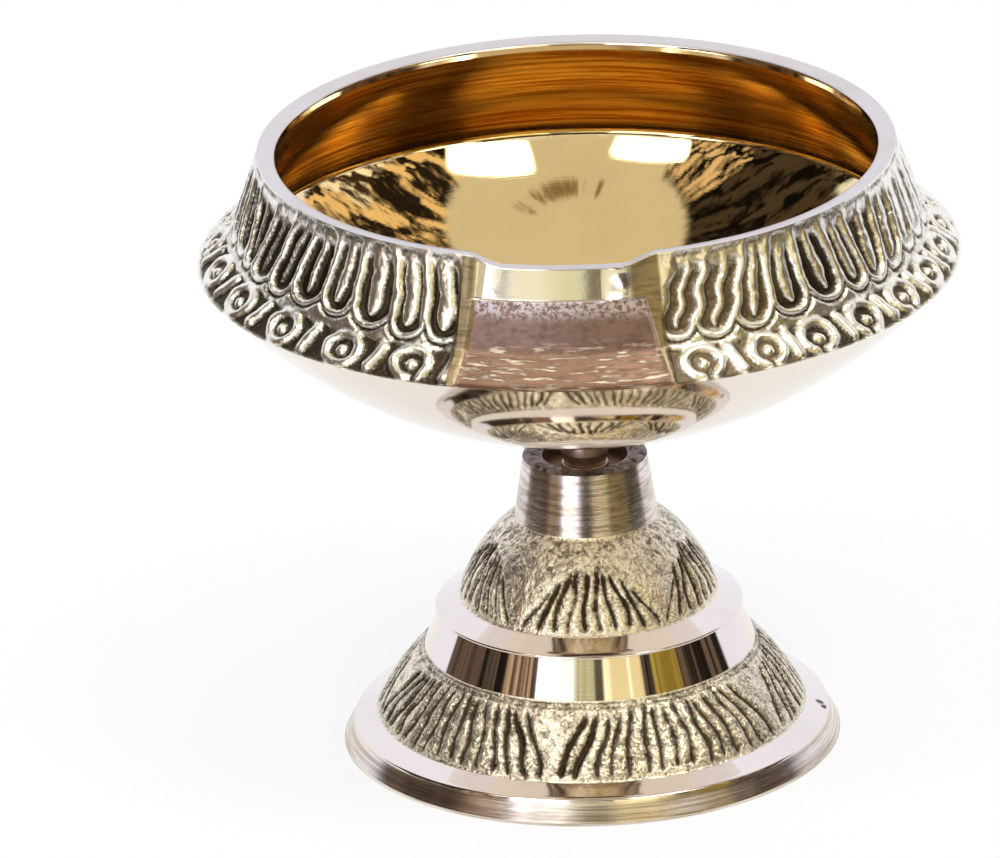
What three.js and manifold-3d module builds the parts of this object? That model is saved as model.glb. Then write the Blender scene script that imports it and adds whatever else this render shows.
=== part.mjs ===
// Footed oil lamp in cast brass: a shallow bowl with a wick rest, screwed onto a hollow foot.
// Millimetres, +Z up, origin at the centre of the foot's rest ring, wick rest towards -Y.
import * as THREE from 'three';
import { mergeVertices } from 'three/addons/utils/BufferGeometryUtils.js';
import Module from 'manifold-3d';

const wasm = await Module();
wasm.setup();

// Thread that joins bowl and foot: right hand, 3/16 inch by 24 turns to the inch, crests worn round
const threadPitch = 25.4 / 24;
const threadCoreRadius = 2.05;
const threadRidgeRadius = 0.3;
const threadClearance = 0.12;

// Foot, listed from the collar down, so that each width adds to the radius above it
const collarTopRadius = 8.2;
const collarHeight = 8.2;
const collarFlare = 1.23;
const collarCrown = 0.5;
const socketRadius = 5.64;
const socketDepth = 1.6;
const webThickness = 6.35;
const upperDomeHeight = 11;
const upperDomeSpread = 7.77;
const upperDomeBulge = 1.2;
const ringSlopeWidth = 3.1;
const ringSlopeHeight = 1.5;
const ringEdgeHeight = 0.5;
const ringOverhang = 0.6;
const bandHeight = 5;
const bandFlare = 2.1;
const lowerDomeHeight = 8.9;
const lowerDomeSpread = 6.6;
const lowerDomeBulge = 0.5;
const baseLedgeWidth = 2.9;
const baseLedgeHeight = 1.2;
const baseEdgeHeight = 3.1;
const baseEdgeFlare = 1.5;
const footWall = 2.1;

// Seat washer, held in the stud's relief between the boss and the first turn of thread
const washerRadius = 3.1;
const washerThickness = 0.6;

// Stud, soldered into the bowl's boss
const studShankRadius = 2.3;
const studShankLength = 5;
const studReliefLength = 0.15;
const studTail = 0.6;
const studTailChamfer = 0.4;
const solderGap = 0.1;

// Bowl, listed from the boss up
const bossFootRadius = 2.75;
const bossRadius = 3.25;
const bossTaperHeight = 1.6;
const bossLength = 6.9;
const lipRadius = 50;
const undersideRise = 22.46;
const undersidePower = 2.3;
const friezeLowerWidth = 4.2;
const friezeLowerHeight = 3.74;
const friezeUpperWidth = 4.1;
const friezeUpperHeight = 11.3;
const rimWidth = 2.3;
const rimLandHeight = 1.3;
const floorThickness = 3.7;
const floorPower = 2.6;
const lipThickness = 5.2;
const cavityCornerHeight = 0.24;

// Wick rest, a plain ramp in the frieze under a dip in the rim
const restFrontWidth = 28;
const restBackWidth = 24;
const restRecess = 0.4;
const restLip = 0.35;
const restTopDepth = 5.4;
const restBackWall = 1.6;
const rimDipWidth = 25;
const rimDipDepth = 1.4;

// Upper frieze: a raised tongue in a hollow at each place round the rim, less those of the wick rest
const tonguePlaceCount = 52;
const restPlaceCount = 5;
const hollowDepth = 0.85;
const hollowFoot = 1.7;
const hollowTop = 1.5;
const tongueFoot = 2.6;
const tongueWidthShare = 0.4;
const ribWidthShare = 0.24;

// Lower frieze: raised rings with leaning bars between them, in a recess
const ringCount = 31;
const bandRecess = 0.5;
const bandBorder = 0.8;
const ringWidth = 4;
const ringLine = 0.9;
const barWidth = 1.1;
const barLean = 1.1;

// Ribs of the foot's domes, which stand in fans and draw together upwards
const fanCount = 5;
const upperFanRibCount = 10;
const lowerFanRibCount = 15;
const upperFanDegrees = 3;
const lowerFanDegrees = 28.5;
const fanDrawShare = 0.25;
const grooveDepth = 0.5;
const grooveWidthShare = 0.5;

// Room that a cutting shape reaches past the surface that it cuts
const cutMargin = 2;

const bodySegments = 60;
const smallSegments = 24;
const curveSteps = 10;
const domeSteps = 4;
const threadStepsPerTurn = 12;
const threadSides = 6;

const polishedBrass = { color: 0xd9c69a, roughness: 0.16, metalness: 1 };
const turnedBrass = { color: 0xc9b184, roughness: 0.32, metalness: 1 };
const boltBrass = { color: 0xb08f6a, roughness: 0.4, metalness: 1 };

function point(radius, height) {
  return new THREE.Vector2(radius, height);
}

// A circular arc between two profile points, bulging to the left of the way from one to the other
function arcPoints(from, to, bulge, steps) {
  const chord = to.clone().sub(from);
  const left = point(-chord.y, chord.x).normalize();
  const radius = (chord.lengthSq() / 4 + bulge * bulge) / (2 * bulge);
  const centre = from.clone().add(to).multiplyScalar(0.5).addScaledVector(left, bulge - radius);
  const start = from.clone().sub(centre);
  const sweep = -2 * Math.asin(chord.length() / 2 / radius);
  const points = [];
  for (let step = 0; step <= steps; step += 1) {
    points.push(start.clone().rotateAround(point(0, 0), (sweep * step) / steps).add(centre));
  }
  return points;
}

// A bowl's curve: flat on the axis, and steeper outwards by a power of the radius
function bowlCurve(fromRadius, toRadius, baseHeight, rise, riseRadius, power, steps) {
  const points = [];
  for (let step = 0; step <= steps; step += 1) {
    const radius = fromRadius + ((toRadius - fromRadius) * step) / steps;
    points.push(point(radius, baseHeight + rise * (radius / riseRadius) ** power));
  }
  return points;
}

// The stretch of a rising line of profile points between two heights
function clipToHeights(points, low, high) {
  const kept = [];
  for (let index = 0; index + 1 < points.length; index += 1) {
    const from = points[index];
    const to = points[index + 1];
    if (to.y <= low || from.y >= high) continue;
    const along = (height) => from.clone().lerp(to, (height - from.y) / (to.y - from.y));
    const first = from.y < low ? along(low) : from;
    const last = to.y > high ? along(high) : to;
    if (kept.length === 0) kept.push(first);
    kept.push(last);
  }
  return kept;
}

function toManifold(geometry) {
  const bare = geometry.clone();
  bare.deleteAttribute('normal');
  bare.deleteAttribute('uv');
  const merged = mergeVertices(bare);
  const corners = merged.index.array;
  const triangles = [];
  for (let start = 0; start < corners.length; start += 3) {
    const [a, b, c] = corners.slice(start, start + 3);
    if (a !== b && b !== c && c !== a) triangles.push(a, b, c);
  }
  const vertProperties = Float32Array.from(merged.attributes.position.array);
  const triVerts = Uint32Array.from(triangles);
  return new wasm.Manifold(new wasm.Mesh({ numProp: 3, vertProperties, triVerts }));
}

function toGeometry(manifold) {
  const mesh = manifold.getMesh();
  const geometry = new THREE.BufferGeometry();
  geometry.setAttribute('position', new THREE.BufferAttribute(Float32Array.from(mesh.vertProperties), 3));
  geometry.setIndex(new THREE.BufferAttribute(Uint32Array.from(mesh.triVerts), 1));
  geometry.computeVertexNormals();
  return geometry;
}

function turned(profile, segments) {
  return toManifold(new THREE.LatheGeometry(profile, segments).rotateX(Math.PI / 2));
}

function evenTurns(count) {
  return Array.from({ length: count }, (_, index) => index / count);
}

// A ring of corners about the axis, each at its own share of a turn and sunk into the metal by its own depth
function ring(corner, out, places) {
  return places.map(({ turn, sink }) => {
    const sunk = corner.clone().addScaledVector(out, -sink);
    return { turn, radius: sunk.x, height: sunk.y };
  });
}

function unsunk(turns) {
  return turns.map((turn) => ({ turn, sink: 0 }));
}

function plainRings(profile, segments) {
  const turns = evenTurns(segments);
  return profile.map((corner) => ring(corner, point(0, 0), unsunk(corner.x > 0 ? turns : [0])));
}

// Triangles between two rings, with corners that are named by their ring, 0 or 1, and their number in it.
// Rings of one count are joined number by number, and others by their turns
function stitch(low, high) {
  const turnOf = (corners, index) => {
    return corners[index % corners.length].turn + Math.floor(index / corners.length);
  };
  const firstAfter = (corners, turn) => corners.filter((corner) => corner.turn < turn).length;
  const isAlike = low.length === high.length;
  const start = isAlike ? 0 : firstAfter(low, high[0].turn);
  const highStart = isAlike ? 0 : firstAfter(high, low[0].turn);
  const triangles = [];
  let a = start;
  let b = highStart;
  while (a < start + low.length || b < highStart + high.length) {
    const isLowDone = a === start + low.length;
    const isHighDone = b === highStart + high.length;
    const isLowNext = isAlike ? a <= b : turnOf(low, a + 1) <= turnOf(high, b + 1);
    if (isHighDone || (isLowNext && !isLowDone)) {
      triangles.push([[0, a], [0, a + 1], [1, b]]);
      a += 1;
    } else {
      triangles.push([[0, a], [1, b + 1], [1, b]]);
      b += 1;
    }
  }
  return triangles;
}

// A solid of rings about the axis
function ringSolid(rings) {
  const positions = [];
  const triangles = [];
  const starts = [];
  for (const corners of rings) {
    starts.push(positions.length / 3);
    for (const { turn, radius, height } of corners) {
      const angle = turn * 2 * Math.PI;
      positions.push(radius * Math.sin(angle), -radius * Math.cos(angle), height);
    }
  }
  for (let row = 0; row + 1 < rings.length; row += 1) {
    for (const [offset, index] of stitch(rings[row], rings[row + 1]).flat()) {
      triangles.push(starts[row + offset] + (index % rings[row + offset].length));
    }
  }
  const geometry = new THREE.BufferGeometry();
  geometry.setAttribute('position', new THREE.Float32BufferAttribute(positions, 3));
  geometry.setIndex(triangles);
  return toManifold(geometry);
}

// Unit vectors that point out of the metal along a rising outline
function outwards(outline) {
  return outline.map((corner, row) => {
    const before = outline[Math.max(row - 1, 0)];
    const after = outline[Math.min(row + 1, outline.length - 1)];
    const along = after.clone().sub(before).normalize();
    return point(along.y, -along.x);
  });
}

// A right-hand thread ridge that starts at a height and climbs
class ThreadPath extends THREE.Curve {
  constructor(radius, startHeight, turns) {
    super();
    this.radius = radius;
    this.startHeight = startHeight;
    this.turns = turns;
  }

  getPoint(share, target = new THREE.Vector3()) {
    const angle = share * this.turns * 2 * Math.PI;
    const height = this.startHeight + share * this.turns * threadPitch;
    return target.set(this.radius * Math.cos(angle), this.radius * Math.sin(angle), height);
  }
}

function threadRidge(sectionRadius, startHeight, turns) {
  const corners = [];
  for (let side = 0; side < threadSides; side += 1) {
    const angle = (side / threadSides) * 2 * Math.PI;
    corners.push(point(sectionRadius * Math.cos(angle), sectionRadius * Math.sin(angle)));
  }
  return toManifold(new THREE.ExtrudeGeometry(new THREE.Shape(corners), {
    extrudePath: new ThreadPath(threadCoreRadius, startHeight, turns),
    steps: turns * threadStepsPerTurn,
    bevelEnabled: false,
  }));
}

// Heights of the foot's edges over the rest ring, and the radii that go with them
const ledgeTop = baseEdgeHeight + baseLedgeHeight;
const bandBottom = ledgeTop + lowerDomeHeight;
const bandTop = bandBottom + bandHeight;
const ringSlopeBottom = bandTop + ringEdgeHeight;
const upperDomeBottom = ringSlopeBottom + ringSlopeHeight;
const collarBottom = upperDomeBottom + upperDomeHeight;
const collarTop = collarBottom + collarHeight;
const seatHeight = collarTop - socketDepth;

const collarBottomRadius = collarTopRadius + collarFlare;
const upperDomeRadius = collarBottomRadius + upperDomeSpread;
const ringRadius = upperDomeRadius + ringSlopeWidth;
const bandTopRadius = ringRadius - ringOverhang;
const bandBottomRadius = bandTopRadius + bandFlare;
const lowerDomeRadius = bandBottomRadius + lowerDomeSpread;
const baseEdgeRadius = lowerDomeRadius + baseLedgeWidth;
const baseRadius = baseEdgeRadius + baseEdgeFlare;

// The thread's ridges keep one phase, counted in whole turns from the top of the web
const turnsBelowSeat = Math.ceil((webThickness + studTail) / threadPitch);
const threadTopHeight = -washerThickness - studReliefLength - threadRidgeRadius;

function lowerDomeOutline() {
  const foot = point(lowerDomeRadius, ledgeTop);
  return arcPoints(foot, point(bandBottomRadius, bandBottom), -lowerDomeBulge, domeSteps);
}

function upperDomeOutline() {
  const foot = point(upperDomeRadius, upperDomeBottom);
  return arcPoints(foot, point(collarBottomRadius, collarBottom), -upperDomeBulge, domeSteps);
}

// A dome with grooves between its ribs. They start over its foot, and end lower at the sides of a fan
function ribbedDome(outline, fanRibCount, fanDegrees, topAt) {
  const out = outwards(outline);
  const last = outline.length - 1;
  return outline.slice(1, last).map((corner, index) => {
    const rise = (index + 1) / last;
    const draw = 1 - fanDrawShare * rise ** 1.5;
    const places = [];
    for (let fan = 0; fan < fanCount; fan += 1) {
      for (let groove = 0.5; groove < fanRibCount; groove += 1) {
        const offCentre = (2 * groove) / fanRibCount - 1;
        const sink = rise < topAt(Math.abs(offCentre)) ? grooveDepth : 0;
        const turn = (fan + (offCentre / 2) * draw) / fanCount + fanDegrees / 360;
        const edge = (grooveWidthShare / 2) / (fanCount * fanRibCount);
        places.push({ turn: turn - edge, sink: 0 }, { turn, sink }, { turn: turn + edge, sink: 0 });
      }
    }
    return ring(corner, out[index + 1], places);
  });
}

function upperDomeTop(offCentre) {
  return 0.8 - 0.4 * offCentre;
}

function lowerDomeTop() {
  return 1;
}

// The hollow follows the outside, moved in and down by the wall, and ends under the web
function footHollowOutline() {
  const outside = [
    point(baseRadius, 0),
    point(baseEdgeRadius, baseEdgeHeight),
    ...lowerDomeOutline(),
    point(bandTopRadius, bandTop),
    ...upperDomeOutline(),
    point(collarTopRadius, collarTop),
  ];
  const inside = outside.map((corner) => point(corner.x - footWall, corner.y - footWall));
  return clipToHeights(inside, 0, seatHeight - webThickness);
}

function makeFoot() {
  const hollow = footHollowOutline();
  const below = [
    point(0, seatHeight - webThickness),
    ...hollow.reverse(),
    point(baseRadius, 0),
    point(baseEdgeRadius, baseEdgeHeight),
    point(lowerDomeRadius, ledgeTop),
  ];
  const between = [
    point(bandBottomRadius, bandBottom),
    point(bandTopRadius, bandTop),
    point(ringRadius, ringSlopeBottom),
    point(upperDomeRadius, upperDomeBottom),
  ];
  const above = [
    point(collarBottomRadius, collarBottom),
    ...arcPoints(point(collarTopRadius, collarTop), point(socketRadius, collarTop), -collarCrown, domeSteps),
    point(socketRadius, seatHeight),
    point(0, seatHeight),
  ];
  const blank = ringSolid([
    ...plainRings(below, bodySegments),
    ...ribbedDome(lowerDomeOutline(), lowerFanRibCount, lowerFanDegrees, lowerDomeTop),
    ...plainRings(between, bodySegments),
    ...ribbedDome(upperDomeOutline(), upperFanRibCount, upperFanDegrees, upperDomeTop),
    ...plainRings(above, bodySegments),
  ]);
  return toGeometry(blank.subtract(tappedHole()));
}

// The web's tapped hole: the stud's thread with its clearance, run past both faces of the web
function tappedHole() {
  const low = seatHeight - webThickness - cutMargin;
  const high = seatHeight + socketDepth;
  const radius = threadCoreRadius + threadClearance;
  const outline = [point(0, low), point(radius, low), point(radius, high), point(0, high)];
  const bore = turned(outline, smallSegments);
  const turns = turnsBelowSeat + 1;
  const start = seatHeight + washerThickness + threadTopHeight - turnsBelowSeat * threadPitch;
  return bore.add(threadRidge(threadRidgeRadius + threadClearance, start, turns));
}

function makeStud() {
  const threadBottom = -washerThickness - webThickness - studTail;
  const core = turned([
    point(0, threadBottom),
    point(threadCoreRadius - studTailChamfer, threadBottom),
    point(threadCoreRadius, threadBottom + studTailChamfer),
    point(threadCoreRadius, 0),
    point(studShankRadius, 0),
    point(studShankRadius, studShankLength),
    point(0, studShankLength),
  ], smallSegments);
  const turns = Math.floor((threadTopHeight - threadBottom - studTailChamfer) / threadPitch);
  return toGeometry(core.add(threadRidge(threadRidgeRadius, threadTopHeight - turns * threadPitch, turns)));
}

function makeSeatWasher() {
  const boreRadius = threadCoreRadius + threadClearance;
  return toGeometry(turned([
    point(boreRadius, 0),
    point(washerRadius, 0),
    point(washerRadius, washerThickness),
    point(boreRadius, washerThickness),
    point(boreRadius, 0),
  ], smallSegments));
}

// Heights in the bowl count from the foot of its boss
const lipHeight = bossLength + undersideRise;
const kinkHeight = lipHeight + friezeLowerHeight;
const rimHeight = kinkHeight + friezeUpperHeight;
const kinkRadius = lipRadius - friezeLowerWidth;
const rimRadius = kinkRadius - friezeUpperWidth;
const mouthRadius = rimRadius - rimWidth;
const cavityRadius = lipRadius - lipThickness;

// The wick rest's share of a turn on each side of its middle, where the frieze stops, and the corners in it
const restTurn = restPlaceCount / tonguePlaceCount / 2;
const restCorners = unsunk(evenTurns(2 * tonguePlaceCount));
const afterRestMiddle = restCorners.filter(({ turn }) => turn < restTurn);
const beforeRestMiddle = restCorners.filter(({ turn }) => turn > 1 - restTurn);

// Rings up the slope from kink to rim: hollows with a tongue in each, and a rib between two hollows
function tongueRings() {
  const kink = point(kinkRadius, kinkHeight);
  const rim = point(rimRadius, rimHeight);
  const length = kink.distanceTo(rim);
  const [out] = outwards([kink, rim]);
  const top = length - hollowTop;
  const rows = [
    { distance: hollowFoot - hollowDepth, hasHollow: false, hasTongue: false },
    { distance: hollowFoot, hasHollow: true, hasTongue: false },
    { distance: tongueFoot, hasHollow: true, hasTongue: false },
    { distance: tongueFoot + hollowDepth, hasHollow: true, hasTongue: true },
    { distance: top - hollowDepth, hasHollow: true, hasTongue: true },
    { distance: top, hasHollow: false, hasTongue: false },
  ];
  const ribEdge = ribWidthShare / 2;
  const tongueEdge = (1 - tongueWidthShare) / 2;
  const groove = (ribEdge + tongueEdge) / 2;
  return rows.map(({ distance, hasHollow, hasTongue }) => {
    const places = [...afterRestMiddle];
    const inGroove = hasHollow ? hollowDepth : 0;
    const onTongue = hasTongue ? 0 : inGroove;
    const section = [[ribEdge, 0], [groove, inGroove], [tongueEdge, onTongue]];
    for (let place = restPlaceCount / 2; place < tonguePlaceCount - restPlaceCount / 2; place += 1) {
      for (const [share, sink] of section) {
        places.push({ turn: (place + share) / tonguePlaceCount, sink });
      }
      for (const [share, sink] of section.toReversed()) {
        places.push({ turn: (place + 1 - share) / tonguePlaceCount, sink });
      }
    }
    places.push(...beforeRestMiddle);
    return ring(kink.clone().lerp(rim, distance / length), out, places);
  });
}

// Rings up the slope from lip to kink: a recess that leaves rings standing, and leaning bars between them
function bandRings() {
  const lip = point(lipRadius, lipHeight);
  const kink = point(kinkRadius, kinkHeight);
  const length = lip.distanceTo(kink);
  const [out] = outwards([lip, kink]);
  const eyeRise = length / 2 - bandBorder - ringLine;
  const rows = [
    { rise: -length / 2 + bandBorder, hasBar: false, hasSides: false, hasEnds: false },
    { rise: -eyeRise - ringLine / 2, hasBar: true, hasSides: false, hasEnds: true },
    { rise: -eyeRise / 2, hasBar: true, hasSides: true, hasEnds: false },
    { rise: eyeRise / 2, hasBar: true, hasSides: true, hasEnds: false },
    { rise: eyeRise + ringLine / 2, hasBar: true, hasSides: false, hasEnds: true },
    { rise: length / 2 - bandBorder, hasBar: false, hasSides: false, hasEnds: false },
  ];
  const pitch = (1 - 2 * restTurn) / ringCount;
  const girth = Math.PI * (lipRadius + kinkRadius);
  const outer = ringWidth / 2 / girth;
  const inner = (ringWidth / 2 - ringLine) / girth;
  const bar = barWidth / 2 / girth;
  return rows.map(({ rise, hasBar, hasSides, hasEnds }) => {
    const sunk = (stands) => (stands ? 0 : bandRecess);
    const places = [...afterRestMiddle];
    for (let count = 0; count < ringCount; count += 1) {
      const middle = restTurn + (count + 0.5) * pitch;
      places.push({ turn: middle - outer, sink: sunk(hasSides) });
      places.push({ turn: middle - inner, sink: sunk(hasEnds) });
      places.push({ turn: middle + inner, sink: sunk(hasEnds) });
      places.push({ turn: middle + outer, sink: sunk(hasSides) });
      if (count === ringCount - 1) break;
      const lean = ((rise / length) * barLean * (middle < 0.5 ? -1 : 1)) / girth;
      const barMiddle = middle + pitch / 2 + lean;
      places.push({ turn: (middle + outer + barMiddle - bar) / 2, sink: bandRecess });
      places.push({ turn: barMiddle - bar, sink: sunk(hasBar) });
      places.push({ turn: barMiddle + bar, sink: sunk(hasBar) });
    }
    places.push(...beforeRestMiddle);
    return ring(lip.clone().lerp(kink, 0.5 + rise / length), out, places);
  });
}

function bowlBlank() {
  const floorHeight = bossLength + floorThickness;
  const floorRise = lipHeight + cavityCornerHeight - floorHeight;
  const underside = bowlCurve(
    bossRadius, lipRadius, bossLength, undersideRise, lipRadius, undersidePower, curveSteps,
  );
  const floor = bowlCurve(
    0, cavityRadius, floorHeight, floorRise, cavityRadius, floorPower, curveSteps,
  );
  const holeRadius = studShankRadius + solderGap;
  const holeDepth = studShankLength + solderGap;
  const outside = [
    point(0, holeDepth),
    point(holeRadius, holeDepth),
    point(holeRadius, 0),
    point(bossFootRadius, 0),
    point(bossRadius, bossTaperHeight),
    ...underside,
  ];
  const inside = [
    point(rimRadius, rimHeight),
    point(mouthRadius, rimHeight),
    point(mouthRadius, rimHeight - rimLandHeight),
    ...floor.reverse(),
  ];
  return ringSolid([
    ...plainRings(outside, bodySegments),
    ...bandRings(),
    ...plainRings([point(kinkRadius, kinkHeight)], bodySegments),
    ...tongueRings(),
    ...plainRings(inside, bodySegments),
  ]);
}

// What the wick rest takes out of the frieze, all the way round
function wickRestRing() {
  const friezeSlope = friezeUpperWidth / friezeUpperHeight;
  const lowerSlope = friezeLowerHeight / friezeLowerWidth;
  const rampTop = rimHeight - restTopDepth;
  const rampTopRadius = rimRadius + restTopDepth * friezeSlope - restRecess;
  const backTopRadius = mouthRadius + restBackWall;
  const backFootRadius = Math.min(rampTopRadius, backTopRadius + restTopDepth * friezeSlope);
  const outerRadius = lipRadius + cutMargin;
  const top = rimHeight + cutMargin;
  return turned([
    point(lipRadius - restLip, lipHeight + restLip * lowerSlope),
    point(outerRadius, lipHeight + restLip * lowerSlope),
    point(outerRadius, top),
    point(backTopRadius - cutMargin * friezeSlope, top),
    point(backFootRadius, rampTop),
    point(rampTopRadius, rampTop),
    point(kinkRadius - restRecess, kinkHeight),
    point(lipRadius - restLip, lipHeight + restLip * lowerSlope),
  ], bodySegments);
}

// The wick rest's outline seen from above, wider at the lip than at the rim
function wickRestPlan() {
  const back = -mouthRadius + rimWidth;
  const front = -lipRadius - cutMargin;
  const splay = (restFrontWidth - restBackWidth) / 2 / (lipRadius - rimRadius);
  const halfWidthAt = (y) => restBackWidth / 2 + (-y - rimRadius) * splay;
  const plan = new THREE.Shape([
    point(-halfWidthAt(back), back),
    point(-halfWidthAt(front), front),
    point(halfWidthAt(front), front),
    point(halfWidthAt(back), back),
  ]);
  const depth = rimHeight + cutMargin - lipHeight + cutMargin;
  const prism = new THREE.ExtrudeGeometry(plan, { depth, bevelEnabled: false });
  return toManifold(prism.translate(0, 0, lipHeight - cutMargin));
}

// A smooth dip in the rim over the wick rest, as a shape that is cut away from above
function rimDip() {
  const corners = [];
  for (let step = 0; step <= curveSteps; step += 1) {
    const share = step / curveSteps;
    const depth = rimDipDepth * Math.sin(Math.PI * share) ** 2;
    corners.push(point((share - 0.5) * rimDipWidth, rimHeight - depth));
  }
  const top = rimHeight + cutMargin;
  corners.push(point(rimDipWidth / 2, top), point(-rimDipWidth / 2, top));
  const reach = rimRadius + cutMargin;
  const depth = reach - mouthRadius + rimDipWidth / 4;
  const prism = new THREE.ExtrudeGeometry(new THREE.Shape(corners), { depth, bevelEnabled: false });
  return toManifold(prism.rotateX(Math.PI / 2).translate(0, depth - reach, 0));
}

function makeBowl() {
  const rest = wickRestRing().intersect(wickRestPlan());
  return toGeometry(bowlBlank().subtract(rest).subtract(rimDip()));
}

function piece(name, geometry, finish) {
  const mesh = new THREE.Mesh(geometry, new THREE.MeshStandardMaterial(finish));
  mesh.name = name;
  return mesh;
}

const lamp = new THREE.Group();

const seatWasher = piece('seat_washer', makeSeatWasher(), turnedBrass);
seatWasher.position.z = seatHeight;

const bowlGroup = new THREE.Group();
bowlGroup.position.z = seatHeight + washerThickness;
bowlGroup.add(piece('bowl', makeBowl(), polishedBrass), piece('stud', makeStud(), boltBrass));

lamp.add(piece('foot', makeFoot(), polishedBrass), seatWasher, bowlGroup);

export default lamp;
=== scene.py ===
"""Footed oil lamp in cast and turned brass: the looks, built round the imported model."""

import math

import bpy
import numpy as np
from mathutils import Matrix, Vector


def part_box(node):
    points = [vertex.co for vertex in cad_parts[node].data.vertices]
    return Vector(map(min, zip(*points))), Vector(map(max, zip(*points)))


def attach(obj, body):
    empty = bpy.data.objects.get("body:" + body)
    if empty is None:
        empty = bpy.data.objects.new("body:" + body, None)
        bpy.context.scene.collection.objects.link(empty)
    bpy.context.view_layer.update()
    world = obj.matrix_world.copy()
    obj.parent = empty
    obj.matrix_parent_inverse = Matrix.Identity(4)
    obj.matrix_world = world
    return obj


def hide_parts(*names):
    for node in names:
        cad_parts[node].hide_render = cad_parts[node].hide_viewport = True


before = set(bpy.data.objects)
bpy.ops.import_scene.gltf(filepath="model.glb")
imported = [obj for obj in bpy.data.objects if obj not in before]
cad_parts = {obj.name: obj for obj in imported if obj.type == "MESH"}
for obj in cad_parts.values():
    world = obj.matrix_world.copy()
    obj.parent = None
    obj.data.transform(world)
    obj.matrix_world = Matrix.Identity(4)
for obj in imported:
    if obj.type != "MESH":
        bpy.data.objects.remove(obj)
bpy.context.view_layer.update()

MM = 0.001


def box_mm(node):
    """A CAD node's lowest and highest corners, in millimetres."""
    low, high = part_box(node)
    return low / MM, high / MM


# Sizes in millimetres. The outer ones come from the frame, and the rest follow the castings

bowl_low, bowl_high = box_mm("bowl")
foot_low, foot_high = box_mm("foot")
washer_low, washer_high = box_mm("seat_washer")
stud_low, stud_high = box_mm("stud")

LIP_RADIUS = bowl_high.x
RIM_HEIGHT = bowl_high.z
BOSS_FOOT = bowl_low.z
BOSS_FOOT_RADIUS = 2.75
BOSS_RADIUS = 3.25
BOSS_TOP = BOSS_FOOT + 6.9
BOSS_STEPS = (1.6, 3.0, 3.3)
UNDERSIDE_RISE = 22.46
UNDERSIDE_POWER = 2.3
LIP_HEIGHT = BOSS_TOP + UNDERSIDE_RISE
KINK_RADIUS = LIP_RADIUS - 4.2
KINK_HEIGHT = LIP_HEIGHT + 3.74
RIM_RADIUS = KINK_RADIUS - 4.1
RIM_WIDTH = 2.3
MOUTH_RADIUS = RIM_RADIUS - RIM_WIDTH
RIM_FALL = 0.35
RIM_BEVEL = 0.12
LAND_HEIGHT = 1.3
CAVITY_RADIUS = LIP_RADIUS - 5.2
FLOOR_HEIGHT = BOSS_TOP + 3.7
FLOOR_POWER = 2.6
FLOOR_EDGE_HEIGHT = LIP_HEIGHT + 0.24
FLOOR_FILLET = 0.4
STUD_HOLE_RADIUS = 2.4
STUD_HOLE_TOP = BOSS_FOOT + 5.1

BASE_RADIUS = foot_high.x
BASE_EDGE_RADIUS = BASE_RADIUS - 1.5
BASE_EDGE_HEIGHT = 3.1
LEDGE_RADIUS = BASE_EDGE_RADIUS - 2.9
LEDGE_HEIGHT = BASE_EDGE_HEIGHT + 1.2
BAND_FOOT_RADIUS = LEDGE_RADIUS - 6.6
BAND_FOOT = LEDGE_HEIGHT + 8.9
BAND_TOP_RADIUS = BAND_FOOT_RADIUS - 2.1
BAND_TOP = BAND_FOOT + 5.0
RING_RADIUS = BAND_TOP_RADIUS + 0.6
RING_EDGE = BAND_TOP + 0.5
UPPER_DOME_RADIUS = RING_RADIUS - 3.1
UPPER_DOME_FOOT = RING_EDGE + 1.5
COLLAR_FOOT_RADIUS = UPPER_DOME_RADIUS - 7.77
COLLAR_FOOT = UPPER_DOME_FOOT + 11.0
COLLAR_TOP_RADIUS = 8.2
COLLAR_TOP = COLLAR_FOOT + 8.2
COLLAR_CROWN = 0.5
SOCKET_RADIUS = 5.64
SEAT_HEIGHT = washer_low.z
WEB_FOOT = SEAT_HEIGHT - 6.35
WEB_HOLE_RADIUS = 2.47
LOWER_DOME_BULGE = 0.5
UPPER_DOME_BULGE = 1.2
FOOT_WALL = 2.1

# Wick rest: part angles count in degrees from -Y towards +X
DIP_WIDTH = 25.0
DIP_DEPTH = 1.4
DIP_SLOPE = 5.0
RAMP_TOP = RIM_HEIGHT - 5.4
RAMP_RECESS = 0.4
RAMP_LEFT = (-15.9, -14.6)
RAMP_RIGHT = (16.7, 14.0)
RAMP_AT_KINK = 0.4
FRIEZE_ENDS = (17.0, 342.4)
BACK_WALL_RADIUS = 42.9
BACK_WALL_TOP_RADIUS = 41.15

# Points in one ring of a mesh
FINE = 1152
LOWER_DOME_FINE = 960
UPPER_DOME_FINE = 768
MIDDLE = 384
COARSE = 192
SMALL = 96

# Which ends of a stretch of profile are sharp edges
NEITHER, START, END, BOTH = (False, False), (True, False), (False, True), (True, True)

rng = np.random.default_rng(7)


def smooth(value, low, high):
    """0 at low, 1 at high and an S curve between them; low may be the larger."""
    share = np.clip((value - low) / (high - low), 0, 1)
    return share * share * (3 - 2 * share)


def hump(value, width):
    """1 where value is 0, falling off like a bell of this width."""
    return np.exp(-((value / width) ** 2))


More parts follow.
